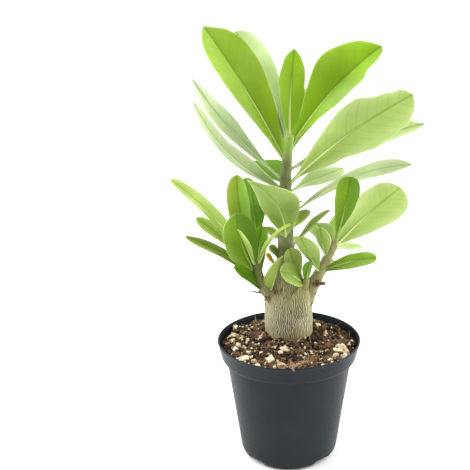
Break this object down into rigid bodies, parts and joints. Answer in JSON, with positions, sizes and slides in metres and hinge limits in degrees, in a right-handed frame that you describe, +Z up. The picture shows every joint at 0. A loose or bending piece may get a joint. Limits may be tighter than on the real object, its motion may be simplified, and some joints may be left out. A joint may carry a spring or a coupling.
{
  "type": "potted desert rose adenium",
  "caption": "Young desert rose with a swollen trunk, a leader and side shoots of broad green leaves, in a round tapered nursery pot filled with soil.",
  "frame": {"origin": "centre of the pot's flat underside, on the surface it stands on", "axes": "+Z up, +X to the right of the picture, +Y away from whoever looks at its front"},
  "size_m": [0.2103, 0.1606, 0.356],
  "materials": {
    "pot": "semi-matte, thin-walled and moulded",
    "soil": "rough loose peat and bark with pale mineral lumps",
    "stem": "matt living bark with fine wavy wrinkles",
    "leaf": "smooth, slightly waxy leaf"
  },
  "bodies": {
    "root": {"pot": "pot", "soil": "soil", "stem": "stem", "crown_leaf_1": "leaf", "crown_leaf_2": "leaf", "crown_leaf_3": "leaf", "crown_leaf_4": "leaf", "crown_leaf_5": "leaf", "crown_leaf_6": "leaf", "crown_leaf_7": "leaf", "crown_leaf_8": "leaf", "crown_leaf_9": "leaf", "crown_leaf_10": "leaf", "crown_leaf_11": "leaf", "crown_leaf_12": "leaf", "crown_leaf_13": "leaf", "crown_leaf_14": "leaf", "crown_leaf_15": "leaf", "crown_leaf_19": "leaf", "crown_leaf_20": "leaf", "left_leaf_1": "leaf", "left_leaf_2": "leaf", "left_leaf_3": "leaf", "left_leaf_4": "leaf", "left_leaf_5": "leaf", "left_leaf_6": "leaf", "left_leaf_7": "leaf", "left_leaf_8": "leaf", "left_leaf_9": "leaf", "left_leaf_10": "leaf", "left_leaf_11": "leaf", "left_leaf_12": "leaf", "right_leaf_1": "leaf", "right_leaf_2": "leaf", "right_leaf_3": "leaf", "right_leaf_4": "leaf", "right_leaf_5": "leaf", "right_leaf_6": "leaf", "right_leaf_7": "leaf", "right_leaf_8": "leaf", "crown_leaf_16": "leaf", "crown_leaf_17": "leaf", "crown_leaf_18": "leaf", "left_leaf_13": "leaf", "right_leaf_9": "leaf", "front_leaf_1": "leaf", "front_leaf_2": "leaf", "front_leaf_3": "leaf"}
  },
  "joints": []
}
